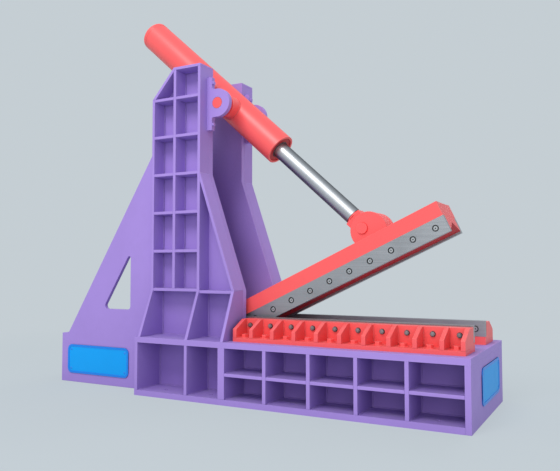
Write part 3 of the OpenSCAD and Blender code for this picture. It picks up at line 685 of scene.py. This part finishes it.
# a thin crowned head with a hexagon socket, laid on each blade bolt
def socketHead(shape, place, direction):
    matrix = standing(place, direction)
    outer = polygonOutline(boltLook["headRadius"], boltLook["steps"])
    inner = []
    for k in range(boltLook["steps"]):
        angle = 2 * math.pi * k / boltLook["steps"]
        local = (angle % (math.pi / 3)) - math.pi / 6
        edge = boltLook["socketRadius"] * math.cos(math.pi / 6) / math.cos(local)
        inner.append((edge * math.cos(angle), edge * math.sin(angle)))
    band(shape, outer, inner, -boltLook["sunk"], boltLook["proud"], matrix)


# painted shade: a thin black hexagon at the bottom of each socket
def socketFloor(shape, place, direction):
    outline = polygonOutline(boltLook["socketRadius"] * 0.98, 6)
    block(shape, outline, -boltLook["sunk"], 0.0001, standing(place, direction))


# the end face of each bolt's head: inwards on the lower blades, outwards on the upper ones
def headSpots(name, towardMiddle):
    spots = []
    for low, high in solids(name):
        side = 1 if low.y > 0 else -1
        inner, outer = (low.y, high.y) if side > 0 else (high.y, low.y)
        centre = middle((low, high))
        centre.y = inner if towardMiddle else outer
        spots.append((centre, Vector((0, -side if towardMiddle else side, 0))))
    return spots


for label, name, towardMiddle, body in (
        ("lowerBlade", "lower_blade_bolts", True, "frame"),
        ("upperBlade", "upper_blade_bolts", False, "upper_jaw")):
    spots = headSpots(name, towardMiddle)
    newPiece(label + "SocketHeads",
             lambda shape: [socketHead(shape, p, d) for p, d in spots],
             materials["machined_steel"], body)
    newPiece(label + "SocketShadeFloors",
             lambda shape: [socketFloor(shape, p, d) for p, d in spots],
             socketShade, body)

# inner radius, outer radius and thickness
washerLook = {"nutWasher": (0.0095, 0.0165, 0.002), "holdWasher": (0.0235, 0.030, 0.0035)}


def washers(shape, spots, sizes):
    inner, outer, thick = sizes
    bevel = thick * 0.3
    profile = [(inner, 0.0), (outer, 0.0), (outer, thick - bevel), (outer - bevel, thick),
               (inner, thick)]
    for place, direction in spots:
        turned(shape, profile, standing(place, direction), 28, smooth=False)


seatBack = max(abs(s[0].y) for s in solids("seat_ribs") if s[0].y > 0)
nutSpots = []
for low, high in solids("lower_blade_bolts"):
    side = 1 if low.y > 0 else -1
    centre = middle((low, high))
    nutSpots.append((Vector((centre.x, side * seatBack, centre.z)), Vector((0, side, 0))))
# near-black washers: the dark ring they give round each nut is partly painted shade
newPiece("nutWashers", lambda shape: washers(shape, nutSpots, washerLook["nutWasher"]),
         darkWasherRing, "frame")

seatFootTop = min(s[0].z for s in solids("seat_ribs"))
holdSpots = []
for low, high in solids("hold_down_bolts"):
    centre = middle((low, high))
    holdSpots.append((Vector((centre.x, centre.y, seatFootTop)), Vector((0, 0, 1))))
newPiece("holdDownWashers", lambda shape: washers(shape, holdSpots, washerLook["holdWasher"]),
         materials["red_paint"], "frame")

screwLook = {"count": 6, "rim": 0.018, "radius": 0.009, "sides": 12, "sunk": 0.001,
             "proud": 0.0016, "chamfer": 0.0006}


# screws round each pivot cap
def capScrews(shape):
    low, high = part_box("pivot_caps")
    centre = middle((low, high))
    radius = (high.z - low.z) / 2 - screwLook["rim"]
    for side in (-1, 1):
        for k in range(screwLook["count"]):
            angle = 2 * math.pi / screwLook["count"] * (k + 0.5)
            place = Vector((centre.x + radius * math.cos(angle), side * high.y,
                            centre.z + radius * math.sin(angle)))
            outline = polygonOutline(screwLook["radius"], screwLook["sides"], angle)
            block(shape, outline, -screwLook["sunk"], screwLook["proud"],
                  standing(place, (0, side, 0)), screwLook["chamfer"])


newPiece("pivotCapScrews", capScrews, materials["purple_paint"], "frame")

centreLook = {"inner": 0.0075, "outer": 0.0115, "rounding": 0.001, "proud": 0.0006}


# a low turned ring round the centre of each trunnion's end
def trunnionEnds(shape):
    inner, outer, proud = centreLook["inner"], centreLook["outer"], centreLook["proud"]
    profile = [(inner, -0.001), (outer, -0.001), (outer, proud - 0.0002),
               (outer - centreLook["rounding"], proud), (inner, 0.0)]
    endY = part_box("trunnions")[1].y - proud
    for side in (-1, 1):
        place = Vector((trunnion.x, side * endY, trunnion.z))
        turned(shape, profile, standing(place, (0, side, 0)), 24)


newPiece("trunnionCentres", trunnionEnds, materials["dark_red_paint"], "cylinder")

# the lip's section: its foot in the gland, its shoulder and the thin edge on the rod
wiperLook = {"bore": 0.0573, "foot": (0.064, -0.002, 0.001), "shoulder": (0.061, 0.003),
             "edge": (0.0585, 0.006)}


# a rubber wiper lip where the rod leaves the gland
def wiper(shape):
    face = max((v.co - trunnion).dot(rodAxis) for v in nodes["gland"].data.vertices)
    bore = wiperLook["bore"]
    footRadius, footLow, footHigh = wiperLook["foot"]
    profile = [(bore, footLow), (footRadius, footLow), (footRadius, footHigh),
               wiperLook["shoulder"], wiperLook["edge"], (bore, wiperLook["edge"][1])]
    turned(shape, profile, standing(onCylinder(face, 0, 0), rodAxis, Vector((0, 1, 0))), 48)


newPiece("rodWiper", wiper, wiperRubber, "cylinder")

# blank badges: a plate, a raised rim and four rivets
badgeLook = {"corner": 0.040, "plate": 0.0035, "rim": 0.016, "rivet": 0.009, "rivetInset": 0.036}
badgeFrames = []
for low, high in solids("badges"):
    size = high - low
    centre = middle((low, high))
    if size.y < size.x:
        matrix = standing((centre.x, high.y, centre.z), (0, -1, 0))
        badgeFrames.append((matrix, size.x, size.z, size.y))
    else:
        matrix = standing((low.x, centre.y, centre.z), (1, 0, 0), Vector((0, 1, 0)))
        badgeFrames.append((matrix, size.y, size.z, size.x))


def badgePlates(shape):
    for matrix, length, height, depth in badgeFrames:
        outline = roundedOutline(length, height, badgeLook["corner"])
        block(shape, outline, 0.0, badgeLook["plate"], matrix)


def badgeTrim(shape):
    rim = badgeLook["rim"]
    for matrix, length, height, depth in badgeFrames:
        outer = roundedOutline(length, height, badgeLook["corner"])
        inner = roundedOutline(length - 2 * rim, height - 2 * rim, badgeLook["corner"] - rim)
        band(shape, outer, inner, 0.0, depth, matrix)
        for sx in (-1, 1):
            for sy in (-1, 1):
                x = sx * (length / 2 - badgeLook["rivetInset"])
                y = sy * (height / 2 - badgeLook["rivetInset"])
                spot = matrix @ Matrix.Translation((x, y, badgeLook["plate"] - 0.0002))
                crown = depth - badgeLook["plate"]
                dome = [(badgeLook["rivet"] * math.cos(a), crown * math.sin(a))
                        for a in (0.0, 0.4, 0.8, 1.2, 1.5)]
                turned(shape, dome + [(0.0005, 0.0)], spot, 20)


plates = newPiece("badgePlates", badgePlates, azurePale, "frame")
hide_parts("badges")
newPiece("badgeRims", badgeTrim, materials["blue_paint"], "frame")
print("fittings done")

stageLook = {"backdrop": (0.558, 0.617, 0.655), "worldStrength": 1.0, "floorGlow": 0.78,
             "floorFade": (2.0, 5.5), "floorRadius": 60}
world = bpy.data.worlds.new("studio")
bpy.context.scene.world = world
world.use_nodes = True
background = world.node_tree.nodes["Background"]
background.inputs["Color"].default_value = (*stageLook["backdrop"], 1)
background.inputs["Strength"].default_value = stageLook["worldStrength"]

floorMesh = bpy.data.meshes.new("floor")
floorShape = bmesh.new()
bmesh.ops.create_circle(floorShape, cap_ends=True, radius=stageLook["floorRadius"], segments=96)
floorShape.to_mesh(floorMesh)
floorShape.free()
floor = bpy.data.objects.new("floor", floorMesh)
bpy.context.scene.collection.objects.link(floor)
floorShader = Shader("floorPaper")
floorGrain = floorShader.noise(3.0, 3.0)
floorTone = floorShader.mix(floorGrain.between(0.3, 0.7),
    (0.50, 0.55, 0.585, 1), (0.51, 0.56, 0.595, 1))
floorMatt = floorShader.add("ShaderNodeBsdfPrincipled", None,
    {"Base Color": floorTone, "Roughness": 1.0, "Specular IOR Level": 0.0})
floorGlow = floorShader.add("ShaderNodeEmission", None,
    {"Color": (*stageLook["backdrop"], 1), "Strength": 1.0})
floorReach = floorShader.add("ShaderNodeVectorMath", {"operation": "LENGTH"},
    {0: floorShader.place}, output="Value").between(*stageLook["floorFade"])
floorBlend = floorShader.add("ShaderNodeMixShader", None,
    {0: floorReach * (1.0 - stageLook["floorGlow"]) + stageLook["floorGlow"],
     1: floorMatt, 2: floorGlow})
floorShader.add("ShaderNodeOutputMaterial", None, {0: floorBlend})
floorMesh.materials.append(floorShader.material)

lamps = {
    "keyLamp": {"place": (-0.2, -5.8, 7.0), "aim": (0.0, 0.0, 1.0), "size": 3.2, "power": 340,
                "mirrored": True},
    "fillLamp": {"place": (3.6, -7.2, 2.2), "aim": (0.0, 0.0, 0.9), "size": 4.0, "power": 130,
                 "mirrored": True},
    "rimLamp": {"place": (1.5, 6.0, 5.0), "aim": (0.0, 0.0, 1.2), "size": 4.0, "power": 160,
                "mirrored": False},
}
for name, look in lamps.items():
    lampData = bpy.data.lights.new(name, "AREA")
    lampData.shape = "SQUARE"
    lampData.size = look["size"]
    lampData.energy = look["power"]
    lamp = bpy.data.objects.new(name, lampData)
    lamp.location = look["place"]
    lamp.rotation_euler = (Vector(look["aim"]) - lamp.location).to_track_quat("-Z", "Y").to_euler()
    lamp.visible_glossy = look["mirrored"]
    bpy.context.scene.collection.objects.link(lamp)

cameraLook = {"place": (2.2558, -3.9323, 0.8668), "tilt": 92.961, "turn": 28.624,
              "lens": 41.23, "sensor": 36.0, "shift": (0.0167, -0.0016)}
cameraData = bpy.data.cameras.new("camera")
cameraData.sensor_width = cameraLook["sensor"]
cameraData.lens = cameraLook["lens"]
cameraData.shift_x, cameraData.shift_y = cameraLook["shift"]
camera = bpy.data.objects.new("camera", cameraData)
camera.location = cameraLook["place"]
camera.rotation_euler = (math.radians(cameraLook["tilt"]), 0.0, math.radians(cameraLook["turn"]))
bpy.context.scene.collection.objects.link(camera)
bpy.context.scene.camera = camera
bpy.context.scene.view_settings.view_transform = "Standard"

print("scene ready")
